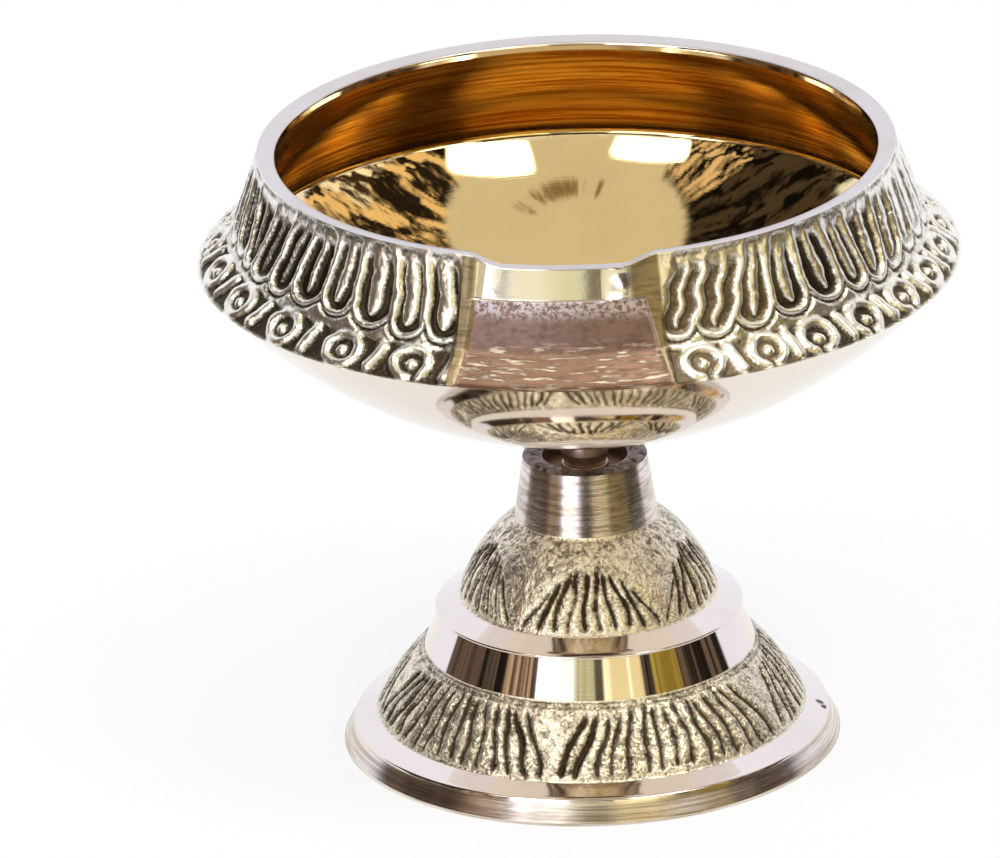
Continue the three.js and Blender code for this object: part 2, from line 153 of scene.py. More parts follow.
def grain(angle, travel, girth, size, seed):
    """Smooth random bumps from -1 to 1 on a turned surface, about size millimetres apart."""
    cells = max(3, round(girth / size))
    rows = int(np.ptp(travel) / size) + 3
    lattice = np.random.default_rng(seed).uniform(-1, 1, (rows + 1, cells))
    across = (angle % 360) / 360 * cells
    down = (travel - travel.min()) / size
    column = np.floor(across).astype(int)
    row = np.floor(down).astype(int)
    ease_across = smooth(across - column, 0, 1)
    ease_down = smooth(down - row, 0, 1)
    column %= cells
    after = (column + 1) % cells
    upper = lattice[row, column] * (1 - ease_across) + lattice[row, after] * ease_across
    lower = lattice[row + 1, column] * (1 - ease_across) + lattice[row + 1, after] * ease_across
    return upper * (1 - ease_down) + lower * ease_down


def turn_from(angle, centre):
    """Signed degrees from a centre angle, from -180 to 180."""
    return (angle - centre + 180) % 360 - 180


# Profiles: points of radius and height, walked with the air on the left


def line(start, end, steps):
    share = np.linspace(0, 1, steps + 1)[:, None]
    return np.array(start) * (1 - share) + np.array(end) * share


def arc(start, end, bulge, steps):
    """A circular arc that bulges to the left of the way from start to end."""
    start, end = np.array(start, float), np.array(end, float)
    chord = end - start
    length = np.hypot(*chord)
    left = np.array((-chord[1], chord[0])) / length
    radius = (length**2 / 4 + bulge**2) / (2 * bulge)
    centre = (start + end) / 2 + left * (bulge - radius)
    sweep = -2 * math.asin(length / 2 / radius)
    turns = sweep * np.linspace(0, 1, steps + 1)
    from_centre = start - centre
    cos, sin = np.cos(turns), np.sin(turns)
    across = from_centre[0] * cos - from_centre[1] * sin
    up = from_centre[0] * sin + from_centre[1] * cos
    return np.stack([across, up], 1) + centre


def bowl_curve(radii, base, rise, reach, power):
    radii = np.array(radii, float)
    return np.stack([radii, base + rise * (radii / reach) ** power], 1)


def walked(points):
    """Distance along a profile at each of its points."""
    return np.concatenate([[0], np.cumsum(np.hypot(*np.diff(points, axis=0).T))])


def facing(points):
    """The unit normals of a profile, on the left of the walk."""
    along = np.gradient(points, axis=0)
    along /= np.hypot(*along.T)[:, None]
    return np.stack([-along[:, 1], along[:, 0]], 1)


class Turned:
    """A closed mesh made of rings about the Z axis, each joined to the ring before it."""

    def __init__(self, name):
        self.name = name
        self.rings = []
        self.bands = []
        self.materials = []
        self.length = 0.0

    def stretch(self, points, count, material, relief=None, sharp=NEITHER, shape=None):
        """Adds a stretch of profile, which begins on the last ring if there is one."""
        points = np.array(points, float)
        walk = walked(points)
        normals = facing(points)
        angle = np.arange(count) * 360 / count
        lift, marks = np.zeros((len(points), count)), {}
        if relief is not None:
            lift, marks = relief(angle[None, :], walk[:, None])
        radius = points[:, :1] + lift * normals[:, :1]
        height = points[:, 1:] + lift * normals[:, 1:]
        if shape is not None:
            radius, height = shape(angle[None, :], walk[:, None], radius, height)
        radius = np.broadcast_to(radius, (len(points), count))
        height = np.broadcast_to(height, (len(points), count))
        if material not in self.materials:
            self.materials.append(material)
        if self.rings:
            self.rings[-1]["sharp"] |= sharp[0]
        start = self.length
        for row in range(1 if self.rings else 0, len(points)):
            if self.rings:
                self.bands.append(self.materials.index(material))
            around = 1 if points[row][0] == 0 else count
            self.length = start + walk[row]
            self.rings.append({
                "radius": radius[row][:around],
                "height": height[row][:around],
                "count": around,
                "marks": {k: v[row][:around] for k, v in marks.items()},
                "sharp": sharp[1] and row == len(points) - 1,
                "walk": self.length,
            })

    def straight(self, places, steps, count, material, **rest):
        """Adds straight stretches that join some places in turn."""
        for start, end in zip(places, places[1:]):
            self.stretch(line(start, end, steps), count, material, **rest)

    def corners(self, first, count, second, after):
        """Faces between two rings: vertex numbers and their turns, one row for each face."""
        if count == 1 or after == 1:
            many = max(count, after)
            step = np.arange(many)
            ahead = (step + 1) % many
            if count == 1:
                numbers = [first + 0 * step, second + step, second + ahead]
                turns = [step + 0.5, step, step + 1]
            else:
                numbers = [first + step, second + 0 * step, first + ahead]
                turns = [step, step + 0.5, step + 1]
            return np.stack(numbers, 1), np.stack(turns, 1) / many
        few = min(count, after)
        step = np.arange(few)
        fine, coarse = count // few, after // few
        numbers, turns = [first + step * fine], [step]
        for part in range(coarse + 1):
            numbers.append(second + (step * coarse + part) % after)
            turns.append(step + part / coarse)
        for part in range(fine, 0, -1):
            numbers.append(first + (step * fine + part) % count)
            turns.append(step + part / fine)
        return np.stack(numbers, 1), np.stack(turns, 1) / few

    def build(self, closed=False):
        """Makes the Blender object, with a map by turn and walk, and the marks as attributes."""
        counts, ring_walks, sharp, radii, heights = (
            [ring[key] for ring in self.rings] for key in ("count", "walk", "sharp", "radius", "height")
        )
        starts = np.concatenate([[0], np.cumsum(counts)])
        ring_of = np.repeat(np.arange(len(counts)), counts)
        turn = (np.arange(starts[-1]) - starts[ring_of]) * 2 * np.pi / np.array(counts)[ring_of]
        radius = np.concatenate(radii)
        places = np.stack([radius * np.sin(turn), -radius * np.cos(turn), np.concatenate(heights)], 1)
        corners, turns, walks, totals, slots = [], [], [], [], []
        pairs = [(number, number + 1) for number in range(len(counts) - 1)]
        if closed:
            pairs.append((len(counts) - 1, 0))
        for band, (one, two) in enumerate(pairs):
            numbers, turn = self.corners(starts[one], counts[one], starts[two], counts[two])
            top = ring_walks[two] if two else self.length
            corners.append(numbers.ravel())
            turns.append(turn.ravel())
            walks.append(np.where(ring_of[numbers] == one, ring_walks[one], top).ravel())
            totals.append(np.full(len(numbers), numbers.shape[1]))
            slots.append(np.full(len(numbers), self.bands[min(band, len(self.bands) - 1)]))
        corners, totals = np.concatenate(corners), np.concatenate(totals)
        mesh = bpy.data.meshes.new(self.name)
        mesh.vertices.add(starts[-1])
        mesh.vertices.foreach_set("co", (places * MM).astype(np.float32).ravel())
        mesh.loops.add(len(corners))
        mesh.loops.foreach_set("vertex_index", corners.astype(np.int32))
        mesh.polygons.add(len(totals))
        loop_starts = np.concatenate([[0], np.cumsum(totals)[:-1]])
        mesh.polygons.foreach_set("loop_start", loop_starts.astype(np.int32))
        mesh.polygons.foreach_set("material_index", np.concatenate(slots).astype(np.int32))
        mesh.polygons.foreach_set("use_smooth", np.ones(len(totals), bool))
        mesh.update(calc_edges=True)
        lay = mesh.uv_layers.new(name="OFBake")
        places_on_map = np.stack([np.concatenate(turns), np.concatenate(walks) / self.length], 1)
        lay.uv.foreach_set("vector", (0.002 + 0.996 * places_on_map).astype(np.float32).ravel())
        self.mark(mesh, "walk", np.repeat(ring_walks, counts))
        for name in sorted({name for ring in self.rings for name in ring["marks"]}):
            values = [ring["marks"].get(name, np.zeros(ring["count"])) for ring in self.rings]
            self.mark(mesh, name, np.concatenate(values))
        self.sharpen(mesh, ring_of, np.array(sharp))
        mesh.validate()
        for material in self.materials:
            mesh.materials.append(material)
        made = bpy.data.objects.new(self.name, mesh)
        bpy.context.scene.collection.objects.link(made)
        return made

    def mark(self, mesh, name, values):
        layer = mesh.attributes.new(name, "FLOAT", "POINT")
        layer.data.foreach_set("value", values.astype(np.float32))

    def sharpen(self, mesh, ring_of, sharp):
        ends = np.empty(len(mesh.edges) * 2, np.int32)
        mesh.edges.foreach_get("vertices", ends)
        one, two = ring_of[ends.reshape(-1, 2)].T
        layer = mesh.attributes.new("sharp_edge", "BOOLEAN", "EDGE")
        layer.data.foreach_set("value", (one == two) & sharp[one])


# Materials


class Nodes:
    """A small helper to write the nodes of a material or a world as expressions."""

    def __init__(self, owner):
        owner.use_nodes = True
        self.owner = owner
        self.tree = owner.node_tree
        self.shader = self.tree.nodes.get("Principled BSDF")

    def node(self, kind, values=None, **settings):
        made = self.tree.nodes.new("ShaderNode" + kind)
        for key, value in settings.items():
            setattr(made, key, value)
        for key, value in (values or {}).items():
            self.put(made.inputs[key], value)
        return made

    def put(self, socket, value):
        if isinstance(value, bpy.types.NodeSocket):
            self.tree.links.new(value, socket)
        else:
            socket.default_value = value

    def math(self, operation, *values):
        made = self.node("Math", operation=operation)
        for place, value in enumerate(values):
            self.put(made.inputs[place], value)
        return made.outputs[0]

    def times(self, one, other):
        return self.math("MULTIPLY", one, other)

    def plus(self, one, other):
        return self.math("ADD", one, other)

    def ease(self, value, low, high, start=0.0, end=1.0):
        """From start at low to end at high, with an S curve between them; low may be the larger."""
        made = self.node("MapRange", interpolation_type="SMOOTHSTEP")
        values = {"Value": value, "From Min": low, "From Max": high, "To Min": start, "To Max": end}
        for key, wanted in values.items():
            self.put(made.inputs[key], wanted)
        return made.outputs[0]

    def between(self, value, low, high, edge):
        """1 between low and high and 0 outside, with soft edges."""
        risen = self.ease(value, low - edge, low + edge)
        return self.times(risen, self.ease(value, high + edge, high - edge))

    def mix(self, share, first, second):
        made = self.node("Mix", data_type="RGBA")
        self.put(made.inputs[0], share)
        self.put(made.inputs[6], first)
        self.put(made.inputs[7], second)
        return made.outputs[2]

    def noise(self, place, scale, detail=2.0, roughness=0.5):
        values = {"Vector": place, "Scale": scale, "Detail": detail, "Roughness": roughness}
        return self.node("TexNoise", values).outputs[0]

    def mark(self, name):
        return self.node("Attribute", attribute_name=name).outputs["Fac"]

    def place(self):
        return self.node("TexCoord").outputs["Object"]

    def round_place(self, across, along):
        """Coordinates that run round the axis and along the profile, to stretch a pattern both ways."""
        spot = self.node("SeparateXYZ", {"Vector": self.place()})
        flat = self.node("CombineXYZ", {"X": spot.outputs[0], "Y": spot.outputs[1]})
        unit = self.node("VectorMath", {0: flat.outputs[0]}, operation="NORMALIZE")
        wide = self.node("VectorMath", {0: unit.outputs[0], 3: across}, operation="SCALE")
        parts = self.node("SeparateXYZ", {"Vector": wide.outputs[0]})
        rise = self.times(self.mark("walk"), along)
        values = {"X": parts.outputs[0], "Y": parts.outputs[1], "Z": rise}
        return self.node("CombineXYZ", values).outputs[0]

    def sand(self, unevenness):
        """A casting's sandy skin: its height, and the pattern's depth made uneven by it."""
        sand = self.noise(self.place(), 2600.0, 3.0, 0.62)
        coarse = self.noise(self.place(), 900.0, 2.0, 0.5)
        stray = self.times(self.math("SUBTRACT", sand, 0.5), unevenness)
        return self.plus(self.times(coarse, 1.2), sand), self.plus(self.mark("depth"), stray)

    def bump(self, height, distance):
        return self.node("Bump", {"Height": height, "Distance": distance, "Strength": 1.0}).outputs[0]

    def finish(self, colour, roughness, normal=None, metallic=1.0):
        self.put(self.shader.inputs["Base Color"], colour)
        self.put(self.shader.inputs["Roughness"], roughness)
        self.put(self.shader.inputs["Metallic"], metallic)
        if normal is not None:
            self.put(self.shader.inputs["Normal"], normal)
        return self.owner


# Colours of the turned parts
PALE_BRASS = (0.85, 0.77, 0.68, 1)
GOLD_BRASS = (0.90, 0.72, 0.38, 1)
WALL_GOLD = (0.92, 0.68, 0.26, 1)
AMBER = (0.50, 0.22, 0.035, 1)
RIM_GREY = (0.72, 0.67, 0.61, 1)
DULL_BRASS = (0.52, 0.43, 0.34, 1)
NECK_TAN = (0.66, 0.50, 0.38, 1)
STUD_TAN = (0.60, 0.47, 0.33, 1)
OXIDE = (0.065, 0.048, 0.03, 1)

# Colours of the castings, with the wick rest's ramp and flanks
CAST_BRASS = (0.98, 0.94, 0.78, 1)
# Lighter brown painted into the frieze's hollows as painted light, where light falls into them
LIT_HOLLOW_BROWN = (0.17, 0.125, 0.07, 1)
# Dark browns painted on the wick rest's plain flanks as painted shade
SHADED_FLANK_BRASS = (0.30, 0.23, 0.13, 1)
FLANK_SHADE = (0.10, 0.075, 0.035, 1)
PINK_OXIDE = (0.27, 0.17, 0.14, 1)
RAMP_STAIN = (0.17, 0.12, 0.10, 1)
RAMP_FOOT = (0.25, 0.145, 0.095, 1)
RAMP_SPECKS = (0.60, 0.53, 0.53, 1)
RAMP_STREAKS = (0.66, 0.56, 0.42, 1)
DOME_BRASS = (0.95, 0.85, 0.63, 1)
DOME_DIRT = (0.075, 0.052, 0.028, 1)
CROWN_BROWN = (0.26, 0.21, 0.18, 1)
SOCKET_BROWN = (0.26, 0.17, 0.12, 1)
RAW_BRASS = (0.45, 0.36, 0.22, 1)

# Middles of the two dark specks on the foot's ledge, in metres
LEDGE_SPECKS = ((0.0309, -0.0004, 0.0034), (0.0302, 0.0007, 0.0037))


def turned_metal(name, colour, roughness, line_depth, tint=0.05, waver=1.6, streak=None, specks=()):
    """Brass turned on a lathe: fine rings that waver a little, a soft stain and uneven gloss."""
    n = Nodes(bpy.data.materials.new(name))
    rings = n.noise(n.round_place(waver, 3.5), 1.0, 3.0, 0.65)
    fine = n.noise(n.round_place(3 * waver, 11.0), 1.0, 2.0, 0.6)
    lines = n.plus(rings, n.times(fine, 0.45))
    cloud = n.noise(n.place(), 90.0, 3.0, 0.6)
    stain = n.times(n.ease(cloud, 0.45, 0.75), tint)
    if streak is not None:
        streaks = n.noise(n.round_place(1.4, 1.5), 1.0, 5.0, 0.75)
        colour = n.mix(n.ease(streaks, 0.42, 0.62), colour, streak)
    for spot in specks:
        off = n.node("VectorMath", {0: n.place(), 1: spot}, operation="DISTANCE").outputs["Value"]
        colour = n.mix(n.ease(off, 0.0008, 0.0004), colour, OXIDE)
    gloss = n.ease(cloud, 0.3, 0.7, roughness, roughness * 1.5)
    return n.finish(n.mix(stain, colour, OXIDE), gloss, n.bump(lines, line_depth))


def cast_metal(name, colour, low_colour, roughness, grain_depth):
    """Brass as cast: bright on its worn tops, dark and dull in the hollows, sandy all over."""
    n = Nodes(bpy.data.materials.new(name))
    height, uneven = n.sand(0.9)
    dark = n.ease(uneven, 0.25, 0.8)
    rough = n.plus(n.times(dark, 0.15), roughness)
    return n.finish(n.mix(dark, colour, low_colour), rough, n.bump(height, grain_depth))


def frieze_metal():
    """The frieze's cast brass, which turns into the wick rest's pink ramp and its polished back."""
    n = Nodes(bpy.data.materials.new("cast_frieze"))
    ramp, run, polish, flank = (n.mark(name) for name in ("ramp", "run", "polish", "flank"))
    height, uneven = n.sand(0.8)
    dark = n.ease(uneven, 0.22, 0.75)
    # The hollows are dark oxide, painted lighter brown as painted light where the frieze's mark says
    # light falls into them
    cast = n.mix(dark, CAST_BRASS, n.mix(n.mark("dim"), OXIDE, LIT_HOLLOW_BROWN))
    cloud = n.noise(n.round_place(26.0, 0.9), 1.0, 4.0, 0.65)
    streak = n.noise(n.round_place(12.0, 2.0), 1.0, 4.0, 0.65)
    speck = n.ease(n.noise(n.place(), 1500.0, 3.0, 0.7), 0.42, 0.56)
    pink = n.mix(n.ease(cloud, 0.42, 0.66), PINK_OXIDE, RAMP_STAIN)
    pink = n.mix(n.ease(run, 0.4, 0.6), pink, RAMP_FOOT)
    pink = n.mix(n.times(speck, n.ease(run, 0.24, 0.06)), pink, RAMP_SPECKS)
    low_streaks = n.times(n.ease(streak, 0.50, 0.62), n.ease(run, 0.36, 0.55))
    pink = n.mix(low_streaks, pink, RAMP_STREAKS)
    # Painted shade: the wick rest's plain flanks are painted dark brown, streaked darker, for the shadow
    # they stand in
    flank_shading = n.mix(n.times(n.ease(streak, 0.4, 0.7), 0.6), SHADED_FLANK_BRASS, FLANK_SHADE)
    colour = n.mix(ramp, n.mix(flank, cast, flank_shading), pink)
    colour = n.mix(polish, colour, PALE_BRASS)
    rough = n.plus(n.times(dark, 0.2), 0.28)
    rough = n.ease(ramp, 0, 1, rough, 0.45)
    rough = n.ease(polish, 0, 1, rough, 0.12)
    calm = n.math("MAXIMUM", polish, n.times(flank, 0.7))
    height = n.times(height, n.ease(calm, 0, 1, 1.0, 0.1))
    height = n.plus(height, n.times(low_streaks, ramp))
    return n.finish(colour, rough, n.bump(height, 0.00006))


mirror_brass = turned_metal("mirror_brass", PALE_BRASS, 0.045, 0.0000012)
ledge_brass = turned_metal("ledge_brass", PALE_BRASS, 0.045, 0.0000012, specks=LEDGE_SPECKS)
gold_mirror = turned_metal("gold_mirror", GOLD_BRASS, 0.02, 0.0000014, waver=0.12)
gold_wall = turned_metal("gold_wall", WALL_GOLD, 0.1, 0.00003, 0.1, waver=0.6, streak=AMBER)
satin_brass = turned_metal("satin_rim", RIM_GREY, 0.26, 0.000002)
brushed_brass = turned_metal("brushed_collar", PALE_BRASS, 0.16, 0.000014, 0.15, streak=DULL_BRASS)
neck_brass = turned_metal("neck_brass", NECK_TAN, 0.3, 0.000006, 0.3)
stud_brass = turned_metal("stud_brass", STUD_TAN, 0.38, 0.000004, 0.4)
frieze_brass = frieze_metal()
dome_brass = cast_metal("cast_dome", DOME_BRASS, DOME_DIRT, 0.17, 0.00015)
crown_brass = cast_metal("cast_crown", CROWN_BROWN, OXIDE, 0.42, 0.00008)
socket_brass = cast_metal("cast_socket", SOCKET_BROWN, OXIDE, 0.5, 0.00004)
raw_brass = cast_metal("raw_inside", RAW_BRASS, OXIDE, 0.45, 0.00005)


# Bowl

TONGUE_PLACES = 52
REST_PLACES = 5
TONGUES = TONGUE_PLACES - REST_PLACES
FRIEZE_DEPTH = 0.95
TONGUE_TAPER = 2.6

# How the hand-cut pattern changes round the rim, at turns in degrees from the wick rest's middle
RIB_TURNS = (-180, -95, -80, -58, -48, -38, 0, 22, 34, 42, 60, 80, 180)
RIB_HALVES = (0.6, 0.5, 0.3, 0.35, 0.5, 0.66, 0.72, 0.5, 0.5, 0.6, 0.5, 0.6, 0.6)
TONGUE_TURNS = (-180, -95, -80, -58, -48, -38, -20, 0, 20, 28, 38, 60, 80, 180)
TONGUE_HALVES = (1.1, 0.8, 0.3, 0.35, 0.8, 1.25, 1.4, 0.55, 0.6, 0.7, 1.0, 0.8, 1.0, 1.1)
GROOVE_TURNS = (-180, -90, -62, -50, 0, 20, 34, 44, 62, 75, 180)
GROOVE_SHARES = (0.95, 0.6, 0.75, 1.0, 1.0, 0.6, 0.7, 0.85, 0.6, 0.3, 0.95)
LEAN_TURNS = (-180, -88, -73, -69, -52, -40, -30, -17, 17, 28, 35, 39, 50, 64, 66, 90, 180)
LEANS = (0, -4, -4, 5, 4, 1, -1, -2, 4.5, 5, 2.7, 0, -3.4, -3.4, 3, 1, 0)


def upper_frieze(angle, fall):
    """Tongues in deep U-shaped hollows, with ribs between them. fall counts down from the rim."""
    length = fall.max()
    rise = length - fall
    radius = KINK_RADIUS - (KINK_RADIUS - RIM_RADIUS) * rise / length
    per_degree = radius * np.pi / 180
    place = 360 / TONGUE_PLACES
    turns = place * (REST_PLACES / 2 + np.arange(TONGUES + 1)) + rng.uniform(-0.45, 0.45, TONGUES + 1)
    signed = turn_from(turns, 0)
    lean = np.interp(signed, LEAN_TURNS, LEANS) + rng.normal(0, 0.5, TONGUES + 1)
    bend = rng.normal(0, 0.35, TONGUES + 1) + 1.3 * hump(signed + 25, 14)
    waver = 0.45 * hump(signed - 24, 10)
    rib_half = np.interp(signed, RIB_TURNS, RIB_HALVES) * rng.uniform(0.85, 1.15, TONGUES + 1)
    tongue_half = np.interp(signed, TONGUE_TURNS, TONGUE_HALVES) * rng.uniform(0.9, 1.1, TONGUES + 1)
    groove = FRIEZE_DEPTH * np.interp(signed, GROOVE_TURNS, GROOVE_SHARES)
    up = rise / length
    lift = np.zeros(np.broadcast_shapes(angle.shape, fall.shape))
    reach = np.full(lift.shape, -9.0)

    def side(number):
        wave = waver[number] * np.sin(rise * 1.5 + 0.7 * number)
        return turns[number] + lean[number] * (up - 0.5) + bend[number] * np.sin(np.pi * up) + wave

    for number in range(TONGUES):
        left, right = side(number), side(number + 1)
        middle = (left + right) / 2
        across = (angle - middle) * per_degree
        hollow = (right - left) / 2 * per_degree - (rib_half[number] + rib_half[number + 1]) / 2
        hollow = np.maximum(hollow, 0.3)
        bottom = 1.15 + 0.4 * math.sin(5.0 * number)
        top = 11.2 + 0.3 * math.sin(3.7 * number)
        below = np.minimum(rise - bottom - hollow, 0)
        above = np.maximum(rise - top + 0.7 * hollow, 0)
        inside = hollow - np.hypot(across, below + above)
        deep = groove[number] * smooth(inside, -0.05, 0.35) * smooth(rise, top, top - 3.0)
        start = bottom + 0.95
        widest = np.minimum(tongue_half[number], hollow - 0.36)
        grown = np.clip((rise - start) / TONGUE_TAPER, 0, 1)
        shrunk = np.clip((top - 0.4 - rise) / TONGUE_TAPER, 0, 1)
        wide = widest * np.sqrt(grown * (2 - grown) * shrunk * (2 - shrunk))
        edge = wide - np.abs(across)
        tongue = smooth(edge, -0.12, 0.22) * (0.74 + 0.26 * smooth(edge, 0.0, 1.1)) * (wide > 0)
        lift = np.minimum(lift, -deep * (1 - tongue))
        reach = np.maximum(reach, inside)
    scallop = hump(reach + 0.85, 0.22) * smooth(rise, 5.0, 2.5)
    lift = np.minimum(lift, -0.5 * scallop)
    crown = 0.22 * smooth(reach, -0.75, 0) * smooth(rise, 0.8, 2.0)
    lift = lift - crown - 0.10 * smooth(rise, 0.9, 0.0)
    under = smooth(reach, -0.2, -0.5) * smooth(rise, 3.6, 2.2)
    plain = 0.45 * smooth(rise, 10.6, 11.4) + 0.36 * under
    return lift, np.clip((-lift - 0.1) / FRIEZE_DEPTH + plain, 0, 1)


RING_COUNT = 31
RING_MIDDLE = 2.75

# Rings counted round from the wick rest, and the turns that they have reached: wider apart on the left
RINGS_PASSED = (0, 7, 25.6, 31)
RING_TURNS = (17.3, 90.8, 270, 342.7)


def lower_frieze(angle, fall):
    """Rings round beads and leaning bars by turns, from kink to lip. fall counts down from the kink."""
    length = fall.max()
    per_degree = (KINK_RADIUS + (LIP_RADIUS - KINK_RADIUS) * fall / length) * np.pi / 180
    raised = np.zeros(np.broadcast_shapes(angle.shape, fall.shape))
    for number in range(RING_COUNT):
        centre = np.interp(number + 0.5, RINGS_PASSED, RING_TURNS) + rng.uniform(-0.6, 0.6)
        bar_turn = np.interp(number + 1, RINGS_PASSED, RING_TURNS) + rng.uniform(-0.4, 0.4)
        room = (bar_turn - centre) * per_degree - 1.3
        across = turn_from(angle, centre) * per_degree
        wide, high = np.clip(room, 1.9, 2.5), rng.uniform(2.0, 2.2)
        round_ring = (np.hypot(across / wide, (fall - RING_MIDDLE) / high) - 1) * (wide + high) / 2
        ring = smooth(np.abs(round_ring), 0.95, 0.2)
        gap = hump(across - rng.uniform(-0.8, 0.8), 0.6) * smooth(fall, RING_MIDDLE, RING_MIDDLE + 0.8)
        if rng.uniform() < 0.4:
            ring = ring * (1 - gap)
        bead = smooth(np.hypot(across, fall - RING_MIDDLE - rng.uniform(-0.1, 0.5)), 1.1, 0.3)
        across = turn_from(angle, bar_turn) * per_degree
        slant = rng.uniform(0.25, 0.45) * (-1 if centre < 180 else 1)
        turned_across = across * math.cos(slant) + (fall - RING_MIDDLE) * math.sin(slant)
        turned_along = (fall - RING_MIDDLE) * math.cos(slant) - across * math.sin(slant)
        past = np.maximum(np.abs(turned_along) - rng.uniform(1.5, 1.8), 0)
        bar = smooth(np.hypot(turned_across, past), 1.15, 0.35)
        for shape in (ring, bead, bar):
            raised = np.maximum(raised, shape)
    wave = 0.25 * np.sin(np.radians(angle) * 3 * TONGUE_PLACES / 2)
    deep = 0.62 * smooth(fall, 0, 0.8 + wave) * smooth(fall, length, length - 0.45)
    lift = -deep * (1 - raised) - 0.10 * smooth(fall, 0.5, 0.0)
    return lift, np.clip(-lift / 0.8, 0, 1)


def frieze_reach(angle):
    """1 on the frieze and 0 on the wick rest, with a short slope between them."""
    turn = angle % 360
    low, high = FRIEZE_ENDS
    return smooth(turn, low, low + 0.45) * smooth(turn, high, high - 0.45)


def frieze(pattern, seed, fade, angle, fall):
    """A pattern of the frieze with the casting's grain, faded out over the wick rest and at its top."""
    girth = 2 * np.pi * KINK_RADIUS
    wander = 0.24 * grain(angle, fall, girth, 2.1, seed + 2)
    wander = wander + 0.09 * grain(angle, fall, girth, 0.9, seed + 3)
    lift, depth = pattern(angle + wander * 360 / girth, fall)
    reach = frieze_reach(angle)
    keep = np.broadcast_to(reach * smooth(fall, 0.0, fade), lift.shape)
    bumps = 0.06 * grain(angle, fall, girth, 0.5, seed) + 0.05 * grain(angle, fall, girth, 1.1, seed + 1)
    lift = (lift + np.minimum(bumps - 0.03, 0.02)) * keep
    # Painted light: the hollows just right of the wick rest and far round at both sides get a mark that
    # paints them lighter brown, where light falls into them
    signed = turn_from(angle, 0)
    dim = smooth(signed, 14, 20) * smooth(signed, 42, 34)
    dim = np.maximum(dim, 0.55 * smooth(signed, 52, 66) + 0.55 * smooth(signed, -80, -95))
    return np.minimum(lift, 0), {
        "depth": depth * keep + 0.4 * (1 - keep),
        "dim": np.broadcast_to(dim, lift.shape),
        "flank": np.broadcast_to(1 - reach, lift.shape),
    }


def rim_top(across):
    """Height of the rim, which dips over the wick rest."""
    return RIM_HEIGHT - DIP_DEPTH * smooth(np.abs(across), DIP_WIDTH / 2, DIP_WIDTH / 2 - DIP_SLOPE)


def dipped(angle, walk, radius, height):
    """Rim and mouth: nothing stands over the dip."""
    across = radius * np.sin(np.radians(angle))
    front = np.cos(np.radians(angle)) > 0
    top = rim_top(across) - RIM_FALL * (RIM_RADIUS - radius) / RIM_WIDTH
    return radius, np.where(front, np.minimum(height, top), height)


def under_land(angle, walk, radius, height):
    """The wall's upper end follows the dip in the land over it."""
    lowered = np.maximum(height[-1] - dipped(angle, walk, radius[-1], height[-1])[1], 0)
    return radius, height - lowered * smooth(walk, walk.max() - 4, walk.max())


def ramp_sides(share):
    """Turns of the ramp's left and right side, at a share of the way up from the lip to its top."""
    return [side[0] + (side[1] - side[0]) * share for side in (RAMP_LEFT, RAMP_RIGHT)]


def up_from_kink(fall):
    """The rise over the kink, the rise at the ramp's top and the share of the one in the other."""
    length = fall.max()
    ramp_end = (RAMP_TOP - KINK_HEIGHT) / (RIM_HEIGHT - KINK_HEIGHT) * length
    return length - fall, ramp_end, np.clip((length - fall) / ramp_end, 0, 1)


def wick_rest(angle, fall, radius, height):
    """Upper frieze: the rim's dip, the polished back wall and the ramp's upper part."""
    turn = turn_from(angle, 0)
    length = fall.max()
    rise, ramp_end, share = up_from_kink(fall)
    top = rim_top(RIM_RADIUS * np.sin(np.radians(turn)))
    top = np.where(np.abs(turn) < 90, top, RIM_HEIGHT)
    height = height - (RIM_HEIGHT - top) * smooth(rise, length - 5.0, length)
    up = np.clip((rise - ramp_end - 0.3) / (length - ramp_end - 0.3), 0, 1)
    wall_radius = BACK_WALL_RADIUS + (BACK_WALL_TOP_RADIUS - BACK_WALL_RADIUS) * up
    wall_height = RAMP_TOP + (top - RAMP_TOP) * up
    on_wall = smooth(turn, -17.0, -13.2) * smooth(turn, 11.6, 6.8) * (rise > ramp_end)
    slope = (KINK_RADIUS - RIM_RADIUS) / (RIM_HEIGHT - KINK_HEIGHT)
    cone_radius = RIM_RADIUS + (RIM_HEIGHT - RAMP_TOP) * slope
    ramp_radius = KINK_RADIUS - RAMP_RECESS + (cone_radius - KINK_RADIUS) * share
    ramp_height = KINK_HEIGHT + (RAMP_TOP - KINK_HEIGHT) * share
    left, right = ramp_sides(RAMP_AT_KINK + (1 - RAMP_AT_KINK) * share)
    on_ramp = smooth(turn, left - 0.5, left) * smooth(turn, right + 0.5, right) * (rise <= ramp_end)
    radius = radius + (wall_radius - radius) * on_wall
    height = height + (wall_height - height) * on_wall
    radius = radius + (ramp_radius - radius) * on_ramp
    height = height + (ramp_height - height) * on_ramp
    return radius, height


def upper_relief(angle, fall):
    """The upper frieze, with marks where the wick rest's ramp and polished back lie in it."""
    lift, marks = frieze(upper_frieze, 11, 0.7, angle, fall)
    turn = turn_from(angle, 0)
    rise, ramp_end, share = up_from_kink(fall)
    left, right = ramp_sides(RAMP_AT_KINK + (1 - RAMP_AT_KINK) * share)
    ramp = smooth(turn, left - 0.4, left + 0.2) * smooth(turn, right + 0.4, right - 0.2)
    ramp = ramp * smooth(rise, ramp_end + 0.3, ramp_end - 0.1)
    polish = smooth(turn, -15.8, -14.6) * smooth(turn, 12.6, 11.0)
    polish = polish * smooth(rise, ramp_end, ramp_end + 0.4)
    for name, value in (("ramp", ramp), ("run", 0.5 * (1 - share)), ("polish", polish)):
        marks[name] = np.broadcast_to(value, lift.shape)
    return lift, marks


